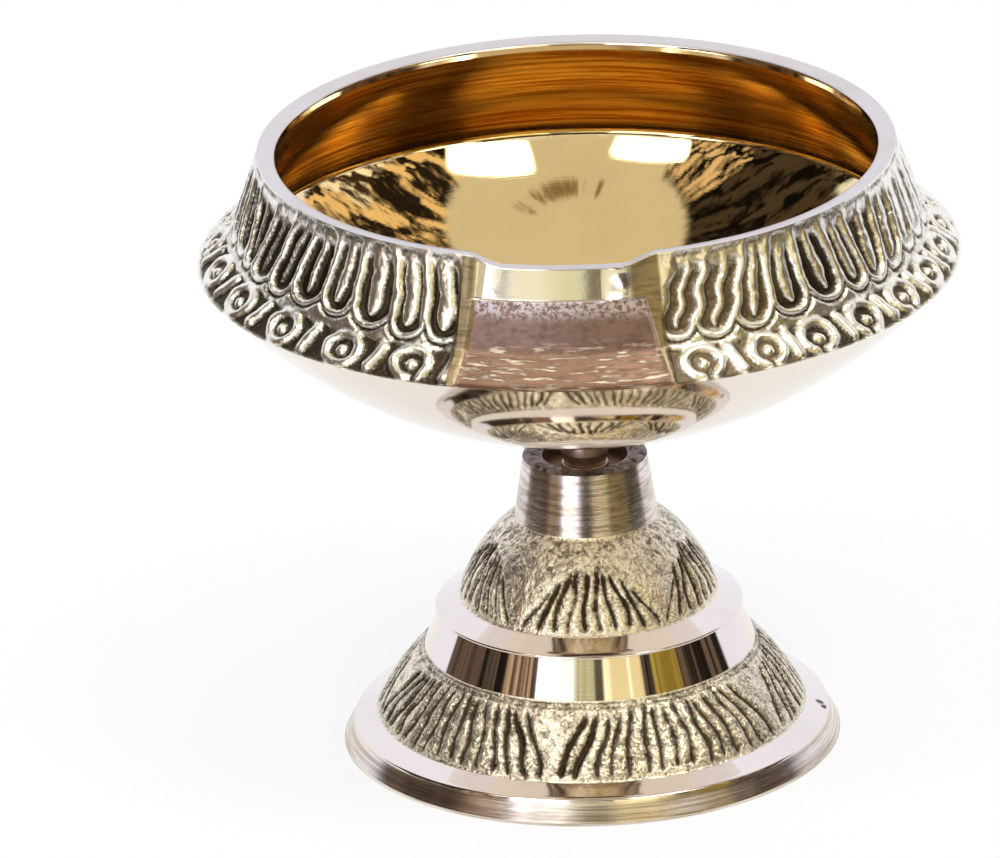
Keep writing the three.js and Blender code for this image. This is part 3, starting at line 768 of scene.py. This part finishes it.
def lower_relief(angle, fall):
    """The lower frieze, with the ramp's lower part in it, down to the lip."""
    lift, marks = frieze(lower_frieze, 13, 0.0001, angle, fall)
    turn = turn_from(angle, 0)
    share = fall / fall.max()
    left, right = ramp_sides(RAMP_AT_KINK * (1 - share))
    ramp = smooth(turn, left - 0.4, left + 0.1) * smooth(turn, right + 0.4, right - 0.1)
    ripple = 0.05 * grain(angle, fall * 4, 2 * np.pi * LIP_RADIUS, 2.4, 31)
    recess = RAMP_RECESS * smooth(share, 1.0, 0.85)
    lift = np.minimum(lift - ramp * (recess + ripple * smooth(share, 1.0, 0.9)), 0)
    for name, value in (("ramp", ramp), ("run", 0.5 + 0.5 * share), ("polish", 0.0)):
        marks[name] = np.broadcast_to(value, lift.shape)
    return lift, marks


def floor_height(radius):
    return FLOOR_HEIGHT + (FLOOR_EDGE_HEIGHT - FLOOR_HEIGHT) * (radius / CAVITY_RADIUS) ** FLOOR_POWER


def make_bowl():
    bowl = Turned("oil_bowl")
    radii = (CAVITY_RADIUS - FLOOR_FILLET) * np.linspace(0, 1, 25) ** 0.85
    floor = np.stack([radii, floor_height(radii)], 1)
    wall_top = (MOUTH_RADIUS, RIM_HEIGHT - LAND_HEIGHT)
    corner = (CAVITY_RADIUS, FLOOR_EDGE_HEIGHT)
    climb = np.array(wall_top) - corner
    wall_start = np.array(corner) + climb / np.hypot(*climb) * FLOOR_FILLET
    bowl.stretch(floor, COARSE, gold_mirror)
    bowl.stretch(arc(floor[-1], wall_start, -0.10, 4), COARSE, gold_mirror)
    bowl.straight([wall_start, wall_top], 8, COARSE, gold_wall, sharp=END, shape=under_land)
    land_edge = (MOUTH_RADIUS, RIM_HEIGHT - RIM_FALL - RIM_BEVEL)
    rim_start = (MOUTH_RADIUS + RIM_BEVEL, RIM_HEIGHT - RIM_FALL)
    rim_end = (RIM_RADIUS - RIM_BEVEL, RIM_HEIGHT)
    rim_edge = (RIM_RADIUS, RIM_HEIGHT - 0.02)
    bowl.straight([wall_top, land_edge], 3, MIDDLE, mirror_brass, shape=dipped)
    bowl.straight([land_edge, rim_start], 1, MIDDLE, satin_brass, shape=dipped)
    bowl.straight([rim_start, rim_end], 4, MIDDLE, satin_brass, shape=dipped)
    bowl.straight([rim_end, rim_edge], 1, FINE, satin_brass, shape=dipped, sharp=END)
    kink, lip = (KINK_RADIUS, KINK_HEIGHT), (LIP_RADIUS, LIP_HEIGHT)
    bowl.straight([rim_edge, kink], 48, FINE, frieze_brass, relief=upper_relief, shape=wick_rest)
    bowl.straight([kink, lip], 22, FINE, frieze_brass, relief=lower_relief, sharp=END)
    radii = np.linspace(LIP_RADIUS, BOSS_RADIUS, 25)
    under = bowl_curve(radii, BOSS_TOP, UNDERSIDE_RISE, LIP_RADIUS, UNDERSIDE_POWER)
    bowl.stretch(under, COARSE, mirror_brass, sharp=BOTH)
    steps = [BOSS_FOOT + step for step in BOSS_STEPS]
    boss = [
        (BOSS_RADIUS, under[-1][1]), (BOSS_RADIUS, steps[2]), (BOSS_RADIUS - 0.15, steps[1]),
        (BOSS_RADIUS - 0.1, steps[0]), (BOSS_FOOT_RADIUS, BOSS_FOOT + 0.1),
        (BOSS_FOOT_RADIUS - 0.1, BOSS_FOOT), (STUD_HOLE_RADIUS, BOSS_FOOT),
        (STUD_HOLE_RADIUS, STUD_HOLE_TOP), (0.0, STUD_HOLE_TOP),
    ]
    bowl.straight(boss, 2, SMALL, neck_brass, sharp=BOTH)
    return bowl.build()


# Foot

UPPER_DOME_MIDDLE = 14
LOWER_DOME_MIDDLE = 25


def make_foot():
    foot = Turned("hollow_foot")
    seat = [(WEB_HOLE_RADIUS, SEAT_HEIGHT), (SOCKET_RADIUS, SEAT_HEIGHT), (SOCKET_RADIUS, COLLAR_TOP)]
    foot.straight(seat, 3, COARSE, socket_brass, sharp=BOTH)
    collar_top, collar_foot = (COLLAR_TOP_RADIUS, COLLAR_TOP), (COLLAR_FOOT_RADIUS, COLLAR_FOOT)
    crown = arc(seat[2], collar_top, COLLAR_CROWN, 8)
    foot.stretch(crown, COARSE, crown_brass, relief=crown_grain, sharp=BOTH)
    foot.straight([collar_top, collar_foot], 10, COARSE, brushed_brass, sharp=BOTH)
    dome_foot = (UPPER_DOME_RADIUS, UPPER_DOME_FOOT)
    upper = arc(collar_foot, dome_foot, UPPER_DOME_BULGE, 52)
    foot.stretch(upper, UPPER_DOME_FINE, dome_brass, relief=upper_dome, sharp=BOTH)
    ring_top, ring_low = (RING_RADIUS - 0.25, RING_EDGE + 0.1), (RING_RADIUS - 0.2, RING_EDGE - 0.35)
    band_top, band_foot = (BAND_TOP_RADIUS, BAND_TOP), (BAND_FOOT_RADIUS, BAND_FOOT)
    foot.straight([dome_foot, ring_top], 4, COARSE, mirror_brass, sharp=START)
    foot.stretch(arc(ring_top, ring_low, 0.22, 6), COARSE, mirror_brass)
    foot.straight([ring_low, band_top], 2, COARSE, mirror_brass, sharp=BOTH)
    foot.straight([band_top, band_foot], 8, COARSE, mirror_brass, sharp=BOTH)
    ledge = (LEDGE_RADIUS, LEDGE_HEIGHT)
    lower = arc(band_foot, ledge, LOWER_DOME_BULGE, 42)
    foot.stretch(lower, LOWER_DOME_FINE, dome_brass, relief=lower_dome, sharp=BOTH)
    ledge_end = (BASE_EDGE_RADIUS - 0.25, BASE_EDGE_HEIGHT + 0.1)
    edge_top = (BASE_EDGE_RADIUS + 0.08, BASE_EDGE_HEIGHT - 0.25)
    edge_foot, rest_start = (BASE_RADIUS, 0.15), (BASE_RADIUS - 0.15, 0.0)
    foot.straight([ledge, ledge_end], 5, COARSE, ledge_brass, sharp=START)
    foot.stretch(arc(ledge_end, edge_top, 0.12, 4), COARSE, mirror_brass)
    foot.straight([edge_top, edge_foot], 6, COARSE, brushed_brass)
    foot.straight([edge_foot, rest_start], 1, COARSE, mirror_brass)
    inside = [
        (BASE_RADIUS - FOOT_WALL - 1.02, 0.0),
        (BASE_EDGE_RADIUS - FOOT_WALL, BASE_EDGE_HEIGHT - FOOT_WALL),
        (LEDGE_RADIUS - FOOT_WALL, LEDGE_HEIGHT - FOOT_WALL),
    ]
    foot.straight([rest_start, inside[0]], 3, COARSE, mirror_brass, sharp=BOTH)
    foot.straight(inside, 3, COARSE, raw_brass, sharp=END)
    outside = (band_foot, band_top, dome_foot, collar_foot)
    band_low, band_high, dome_low, neck = (np.array(place) - FOOT_WALL for place in outside)
    foot.stretch(arc(inside[2], band_low, -LOWER_DOME_BULGE, 10), COARSE, raw_brass)
    foot.straight([band_low, band_high], 3, COARSE, raw_brass)
    foot.straight([band_high, dome_low], 2, COARSE, raw_brass)
    foot.stretch(arc(dome_low, neck, -UPPER_DOME_BULGE, 10), COARSE, raw_brass)
    slope = (COLLAR_TOP_RADIUS - COLLAR_FOOT_RADIUS) / (COLLAR_TOP - COLLAR_FOOT)
    web = (neck[0] + (WEB_FOOT - neck[1]) * slope, WEB_FOOT)
    hole = (WEB_HOLE_RADIUS, WEB_FOOT)
    foot.straight([neck, web], 2, COARSE, raw_brass, sharp=END)
    foot.straight([web, hole], 3, COARSE, raw_brass, sharp=BOTH)
    foot.straight([hole, (WEB_HOLE_RADIUS, SEAT_HEIGHT - 0.5)], 2, COARSE, raw_brass)
    return foot.build(closed=True)


def crown_grain(angle, walk):
    girth = 2 * np.pi * COLLAR_TOP_RADIUS
    lumps = 0.11 * grain(angle, walk, girth, 0.7, 41) + 0.05 * grain(angle, walk, girth, 0.35, 42)
    edge = smooth(walk, 0, 0.3) * smooth(walk, walk.max(), walk.max() - 0.3)
    return (lumps - 0.1) * edge, {"depth": np.clip(0.4 - lumps * 3, 0, 1)}


FANS = 5


def fan_grooves(angle, rise, radius, per_fan, start, ends, pull, narrow, wide, phase):
    """Grooves that spread out downwards in fans, so that the tongues between them splay like petals."""
    per_degree = radius * np.pi / 180
    depth = np.zeros(np.broadcast_shapes(angle.shape, rise.shape))
    spread = 360 / FANS
    for fan in range(FANS):
        centre = phase + fan * spread + rng.uniform(-1.5, 1.5)
        for number in range(per_fan):
            offset = (number - (per_fan - 1) / 2) * spread / per_fan + rng.uniform(-0.5, 0.5)
            end = ends[0] - (ends[0] - ends[1]) * (2 * offset / spread) ** 2 + rng.uniform(-0.5, 0.5)
            begin = start + rng.uniform(-0.15, 0.35)
            share = np.clip((rise - begin) / (end - begin), 0, 1)
            sway = rng.uniform(0.1, 0.3) * np.sin(rise * rng.uniform(0.6, 1.1) + rng.uniform(0, 6))
            line_angle = centre + offset * (1 - pull * share**1.5) + sway / per_degree
            across = np.abs(turn_from(angle, line_angle)) * per_degree
            body = smooth(rise, begin - 0.2, begin + 0.6) * smooth(rise, end, end - 1.6)
            strength = rng.uniform(0.5, 1.0)
            cut = narrow[1] * hump(across, narrow[0]) + wide[1] * hump(across, wide[0])
            depth = np.maximum(depth, cut * body * strength)
    return depth


def upper_dome(angle, fall):
    """Petals on the lower half and sand above them. fall counts down from the collar."""
    length = fall.max()
    rise = length - fall
    radius = UPPER_DOME_RADIUS + (COLLAR_FOOT_RADIUS - UPPER_DOME_RADIUS) * (rise / length) ** 1.2
    cut = fan_grooves(angle, rise, radius, 10, 0.5, (9.6, 6.4), 0.42, (0.16, 0.34), (0.55, 0.34), 3.0)
    girth = 2 * np.pi * UPPER_DOME_MIDDLE
    sand = smooth(rise, 5.5, 8.0)
    bumps = (0.05 + 0.05 * sand) * grain(angle, fall, girth, 0.42, 51)
    bumps = bumps + 0.07 * grain(angle, fall, girth, 1.2, 52)
    edge = smooth(fall, 0, 0.5) * smooth(rise, 0, 0.35)
    neck_groove = 0.35 * hump(fall - 0.45, 0.22)
    foot_groove = 0.25 * hump(rise - 0.35, 0.2)
    lift = np.minimum((bumps - 0.03) * edge - cut - neck_groove - foot_groove, 0)
    depth = np.clip(cut / 0.75 + (0.27 + 0.15 * sand) - bumps * 1.8 * edge, 0, 1)
    return lift, {"depth": depth}


def lower_dome(angle, fall):
    """Close ribs in fans under a double bead line. fall counts down from the band."""
    length = fall.max()
    rise = length - fall
    radius = LEDGE_RADIUS + (BAND_FOOT_RADIUS - LEDGE_RADIUS) * rise / length
    cut = fan_grooves(angle, rise, radius, 15, 0.5, (10.4, 9.4), 0.24, (0.16, 0.34), (0.52, 0.30), 28.5)
    girth = 2 * np.pi * LOWER_DOME_MIDDLE
    bumps = 0.05 * grain(angle, fall, girth, 0.42, 61) + 0.07 * grain(angle, fall, girth, 1.2, 62)
    edge = smooth(fall, 0, 0.3) * smooth(rise, 0, 0.3)
    bead = 0.3 * hump(fall - 0.35, 0.16) + 0.25 * hump(fall - 0.95, 0.18)
    foot_groove = 0.22 * hump(rise - 0.3, 0.2)
    lift = np.minimum((bumps - 0.03) * edge - cut - bead - foot_groove, 0)
    depth = np.clip(cut / 0.75 + bead + 0.40 - bumps * 1.8 * edge, 0, 1)
    return lift, {"depth": depth}


def make_washer():
    washer = Turned("washer_ring")
    low, high = washer_low.z, washer_high.z
    bevel = 0.06
    inner, outer = WEB_HOLE_RADIUS - 0.3, washer_high.x
    loop = [
        (inner, low + bevel), (inner, high - bevel), (inner + bevel, high), (outer - bevel, high),
        (outer, high - bevel), (outer, low + bevel), (outer - bevel, low), (inner + bevel, low),
    ]
    washer.straight(loop, 2, SMALL, neck_brass, sharp=BOTH)
    return washer.build(closed=True)


THREAD_PITCH = 25.4 / 24
THREAD_CORE = 2.05
THREAD_RIDGE = 0.3


def thread_ridge(angle, walk, radius, height):
    """A right-hand ridge round the core, with its phase counted down from the stud's relief."""
    top = BOSS_FOOT - 1.05
    turn = (angle - 90) / 360
    off = (height - top) / THREAD_PITCH - turn
    nearest = (off - np.round(off)) * THREAD_PITCH
    ridge = np.sqrt(np.clip(THREAD_RIDGE**2 - nearest**2, 0, None))
    ends = smooth(height, stud_low.z + 0.4, stud_low.z + 1.0) * smooth(height, top + 0.25, top - 0.1)
    return radius + ridge * ends, height


def make_stud():
    stud = Turned("threaded_stud")
    low, high = stud_low.z, stud_high.z
    top, shank = stud_high.x - 0.2, stud_high.x - 0.05
    core = THREAD_CORE
    stud.straight([(0.0, high), (top, high)], 2, SMALL, stud_brass)
    stud.straight([(top, high), (shank, high - 0.2)], 1, SMALL, stud_brass)
    stud.straight([(shank, high - 0.2), (shank, BOSS_FOOT)], 4, SMALL, stud_brass, sharp=END)
    stud.straight([(shank, BOSS_FOOT), (core, BOSS_FOOT)], 1, SMALL, stud_brass, sharp=BOTH)
    stud.straight([(core, BOSS_FOOT), (core, low + 0.4)], 72, SMALL, stud_brass, shape=thread_ridge)
    stud.straight([(core, low + 0.4), (core - 0.4, low)], 2, SMALL, stud_brass, sharp=END)
    stud.straight([(core - 0.4, low), (0.0, low)], 2, SMALL, stud_brass)
    return stud.build()


bowl = make_bowl()
foot = make_foot()
washer = make_washer()
stud = make_stud()

for piece, body, node, slot in (
    (bowl, "bowl", "bowl", "bowl_brass"),
    (stud, "bowl", "stud", "stud_brass"),
    (washer, "seat_washer", "seat_washer", "washer_brass"),
    (foot, "foot", "foot", "foot_brass"),
):
    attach(piece, body)
    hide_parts(node)


# Stage, camera and light

VIEW_AZIMUTH = 3.3
VIEW_ELEVATION = 21.65
VIEW_ROLL = 1.621
VIEW_DISTANCE = 2.0
VIEW_TARGET = Vector((0, 0, 0.040))
VIEW_SCALE = 7.608 / MM
IMAGE_WIDTH, IMAGE_HEIGHT = 1000, 858
TARGET_PIXEL = (584.58, 449.26)
SENSOR = 36.0
WHITE = (1, 1, 1, 1)


def pointing(azimuth, elevation):
    """A direction by its degrees from -Y towards +X and up."""
    azimuth, elevation = math.radians(azimuth), math.radians(elevation)
    level = math.cos(elevation)
    return Vector((math.sin(azimuth) * level, -math.cos(azimuth) * level, math.sin(elevation)))


def make_camera():
    back = pointing(VIEW_AZIMUTH, VIEW_ELEVATION)
    place = VIEW_TARGET + back * VIEW_DISTANCE
    upright = (-back).to_track_quat("-Z", "Y").to_matrix()
    rolled = upright @ Matrix.Rotation(math.radians(-VIEW_ROLL), 3, "Z")
    off_x = (IMAGE_WIDTH / 2 - TARGET_PIXEL[0]) / VIEW_SCALE
    off_y = (TARGET_PIXEL[1] - IMAGE_HEIGHT / 2) / VIEW_SCALE
    aim = VIEW_TARGET + rolled @ Vector((off_x, off_y, 0))
    look = (aim - place).normalized()
    swing = (-back).rotation_difference(look).to_matrix()
    camera = bpy.data.objects.new("camera", bpy.data.cameras.new("camera"))
    camera.matrix_world = Matrix.Translation(place) @ (swing @ rolled).to_4x4()
    camera.data.sensor_width = SENSOR
    camera.data.lens = VIEW_SCALE * VIEW_DISTANCE / IMAGE_WIDTH * SENSOR
    camera.data.clip_end = 20
    bpy.context.scene.collection.objects.link(camera)
    bpy.context.scene.camera = camera


FLOOR_RADIUS = 0.13
FLOOR_FADE = (0.03, 0.115)


def make_floor():
    bpy.ops.mesh.primitive_circle_add(vertices=128, radius=FLOOR_RADIUS, fill_type="NGON")
    floor = bpy.context.object
    floor.name = "floor"
    n = Nodes(bpy.data.materials.new("pale_floor"))
    path = n.node("LightPath").outputs
    seen = n.math("MAXIMUM", path["Is Camera Ray"], path["Is Glossy Ray"])
    seen = n.math("MAXIMUM", seen, path["Is Transmission Ray"])
    length = n.node("VectorMath", {0: n.place()}, operation="LENGTH").outputs["Value"]
    share = n.times(n.ease(length, *FLOOR_FADE, 0.8, 1.0), seen)
    n.finish((0.93, 0.93, 0.93, 1), 0.9, metallic=0.0)
    n.put(n.shader.inputs["Specular IOR Level"], 0.0)
    glow = n.node("Emission", {"Color": WHITE, "Strength": 1.0})
    blend = n.node("MixShader", {0: share, 1: n.shader.outputs[0], 2: glow.outputs[0]})
    n.tree.links.new(blend.outputs[0], n.tree.nodes["Material Output"].inputs["Surface"])
    floor.data.materials.append(n.owner)


# What the brass mirrors: a white sweep behind and at the sides, and a dim room in front. Each card has
# its azimuths from the camera, its elevations, two colours and how fine the clutter is that mixes them
TENT = (0.98, 1.0, 1.15)
CARDS = {
    "ceiling": (-181, 181, 60, 91, (0.72, 0.66, 0.57), (0.72, 0.66, 0.57), 0.02),
    "room": (-116, 108, -22, 57, (0.012, 0.009, 0.007), (0.16, 0.11, 0.08), 0.35),
    "dark_shelf": (-128, -58, 34, 67, (0.006, 0.005, 0.004), (0.07, 0.05, 0.035), 0.3),
    "dark_frames": (-84, -56, 48, 66, (0.006, 0.005, 0.004), (0.85, 0.62, 0.40), 0.5),
    "right_shelf": (66, 124, 30, 62, (0.95, 0.68, 0.38), (0.02, 0.014, 0.01), 0.25),
    "left_clutter": (-64, -44, -10, 40, (0.05, 0.03, 0.02), (0.62, 0.42, 0.28), 0.5),
    "ceiling_fan": (-24, 66, 74.5, 79, (0.28, 0.19, 0.10), (0.70, 0.63, 0.53), 0.07),
    "left_blind": (-58, -38, 35, 49, (3.2, 3.2, 3.2), (3.2, 3.2, 3.2), 0.1),
    "right_blind": (40, 62, 33, 49, (3.2, 3.2, 3.2), (3.2, 3.2, 3.2), 0.1),
    "left_window": (-40, -12, -22, 40, (2.4, 2.4, 2.6), (1.7, 1.75, 2.1), 0.05),
    "grey_wall": (-12, 8, 8, 21, (0.80, 0.76, 0.55), (0.5, 0.45, 0.3), 0.1),
    "dark_middle": (-8, 17, -22, 4, (0.02, 0.015, 0.01), (0.1, 0.07, 0.05), 0.4),
    "photographer": (2, 7, 21, 48, (0.10, 0.09, 0.06), (0.22, 0.2, 0.14), 0.2),
    "pale_blind": (-26, 2, 22.5, 31, (0.85, 0.82, 0.48), (1.05, 1.05, 0.8), 0.4),
    "blind_frame": (-31, -26, 22.5, 31, (0.16, 0.14, 0.07), (0.3, 0.26, 0.12), 0.25),
    "gold_wall": (9, 38, -3, 34, (1.6, 1.4, 0.95), (1.0, 0.85, 0.45), 0.08),
    "olive_wall": (20, 75, -22, -4, (0.30, 0.22, 0.10), (0.14, 0.1, 0.05), 0.2),
    "yellow_door": (46, 66, -3, 27, (0.55, 0.42, 0.08), (0.3, 0.2, 0.03), 0.1),
    "right_frames": (64, 108, 27, 46, (1.2, 1.1, 1.0), (0.05, 0.03, 0.02), 0.4),
}
CARD_EDGE = 1.2
RAGGED = 5.0

# Lamps' softboxes: azimuth from the camera, elevation, roll, half width, half height and strength,
# with how soft their edges are across and up
SOFTBOXES = ((-41, 62.5, 20, 0.145, 0.062, 19.0), (48, 62, -31, 0.16, 0.085, 19.0))
SOFTBOX_EDGES = (0.03, 0.02)


def make_world():
    n = Nodes(bpy.data.worlds.new("studio"))
    bpy.context.scene.world = n.owner
    way = n.node("TexCoord").outputs["Generated"]
    x, y, z = n.node("SeparateXYZ", {"Vector": way}).outputs
    azimuth = n.math("ARCTAN2", x, n.times(y, -1.0))
    azimuth = n.math("SUBTRACT", n.times(azimuth, 180 / math.pi), VIEW_AZIMUTH)
    azimuth = n.math("WRAP", azimuth, 180.0, -180.0)
    elevation = n.times(n.math("ARCSINE", z), 180 / math.pi)
    chart = n.node("CombineXYZ", {"X": azimuth, "Y": n.times(elevation, 0.45)}).outputs[0]
    ragged = n.times(n.math("SUBTRACT", n.noise(chart, 0.6, 4.0, 0.7), 0.5), RAGGED)
    azimuth = n.plus(azimuth, ragged)
    elevation = n.math("SUBTRACT", elevation, ragged)
    light = TENT + (1,)
    for left, right, low, high, colour, clutter, fineness in CARDS.values():
        values = {"Vector": chart, "Scale": fineness, "Randomness": 0.85}
        blocks = n.node("TexVoronoi", values, distance="CHEBYCHEV").outputs["Color"]
        tone = n.node("SeparateXYZ", {"Vector": blocks}).outputs[0]
        tone = n.plus(n.times(tone, 0.5), n.noise(chart, 3 * fineness, 3.0, 0.7))
        mixed = n.mix(n.ease(tone, 0.66, 0.84), colour + (1,), clutter + (1,))
        beside = n.between(azimuth, left, right, CARD_EDGE)
        light = n.mix(n.times(beside, n.between(elevation, low, high, CARD_EDGE)), light, mixed)
    for turn, rise, roll, wide, high, strength in SOFTBOXES:
        turn, roll = turn + VIEW_AZIMUTH, math.radians(roll)
        middle, level = pointing(turn, rise), pointing(turn + 90, 0)
        right = level * math.cos(roll) + level.cross(-middle) * math.sin(roll)
        ahead, aside, over = (
            n.node("VectorMath", {0: way, 1: axis}, operation="DOT_PRODUCT").outputs["Value"]
            for axis in (middle, right, right.cross(-middle))
        )
        ahead = n.math("MAXIMUM", ahead, 0.001)
        masks = [
            n.ease(n.math("ABSOLUTE", n.math("DIVIDE", off, ahead)), half + edge, half - edge)
            for off, half, edge in zip((aside, over), (wide, high), SOFTBOX_EDGES)
        ]
        light = n.mix(n.times(*masks), light, (strength, strength, strength, 1))
    seen = n.node("LightPath").outputs["Is Camera Ray"]
    n.put(n.tree.nodes["Background"].inputs["Color"], n.mix(seen, light, WHITE))


make_camera()
make_floor()
make_world()
bpy.context.scene.view_settings.view_transform = "Standard"

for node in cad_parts.values():
    node.data.materials.clear()
    node.data.materials.append(mirror_brass)
